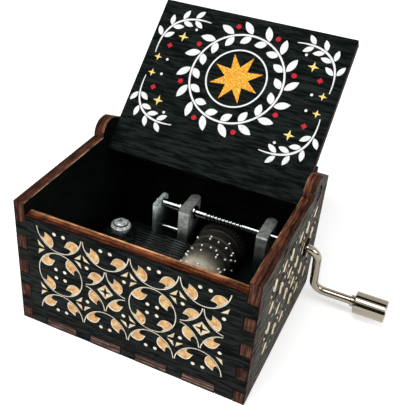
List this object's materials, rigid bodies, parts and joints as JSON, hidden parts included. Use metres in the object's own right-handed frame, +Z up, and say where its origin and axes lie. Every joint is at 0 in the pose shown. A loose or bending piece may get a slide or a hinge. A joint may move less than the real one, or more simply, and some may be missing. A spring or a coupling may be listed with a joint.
{
  "type": "hand crank music box",
  "caption": "Small stained plywood music box with finger joints, a lid on two tabs, and a comb movement turned by a bent wire crank through its right wall.",
  "frame": {"origin": "middle of the case's underside", "axes": "+X to the crank's side, +Y to the lid's hinge side, +Z up"},
  "size_m": [0.0883, 0.0765, 0.0671],
  "materials": {
    "stained_plywood": "charcoal stain with laser-burnt red-brown edges and a tan engraved lattice",
    "zinc_casting": "dull grey zinc casting",
    "plated_steel": "bright plated steel",
    "comb_steel": "dark ground steel",
    "drum_metal": "turned metal with small pins",
    "nickel": "polished nickel plate"
  },
  "bodies": {
    "case": {"front_wall": "stained_plywood", "back_wall": "stained_plywood", "left_wall": "stained_plywood", "right_wall": "stained_plywood", "base_panel": "stained_plywood", "bedplate": "zinc_casting", "shaft_bracket": "plated_steel", "bracket_screw": "plated_steel", "tie_rod": "plated_steel", "comb": "comb_steel", "comb_washer_front": "plated_steel", "comb_washer_back": "plated_steel", "comb_screw_front": "plated_steel", "comb_screw_back": "plated_steel", "mounting_screw_1": "plated_steel", "mounting_screw_2": "plated_steel", "mounting_screw_3": "plated_steel"},
    "lid_board": {"lid": "stained_plywood"},
    "crank": {"crank_rod": "nickel", "shaft_collar_left": "plated_steel", "shaft_collar_right": "plated_steel", "knob_stop": "nickel", "knob_retainer": "nickel"},
    "knob": {"crank_knob": "nickel"},
    "drum": {"drum_barrel": "drum_metal", "drum_cap_front": "drum_metal", "drum_cap_back": "drum_metal", "drum_axle": "plated_steel", "worm_wheel": "comb_steel", "axle_clip_front": "plated_steel", "axle_clip_back": "plated_steel"}
  },
  "joints": [
    {"name": "lid_hinge", "type": "hinge", "parent": "case", "child": "lid_board", "pos_m": [0, 0.0175, 0.0365], "axis": [1, 0, 0], "range_deg": [0, 137.3]},
    {"name": "crank_turn", "type": "hinge", "parent": "case", "child": "crank", "pos_m": [0, 0.014, 0.021], "axis": [1, 0, 0], "continuous": true},
    {"name": "knob_spin", "type": "hinge", "parent": "crank", "child": "knob", "pos_m": [0.0475, 0.01792, 0.00528], "axis": [1, 0, 0], "continuous": true},
    {"name": "drum_turn", "type": "hinge", "parent": "case", "child": "drum", "pos_m": [0.0083, 0, 0.013], "axis": [0, 1, 0], "continuous": true}
  ],
  "couplings": [
    {"joint": "drum_turn", "follows": "crank_turn", "ratio": -0.025}
  ]
}
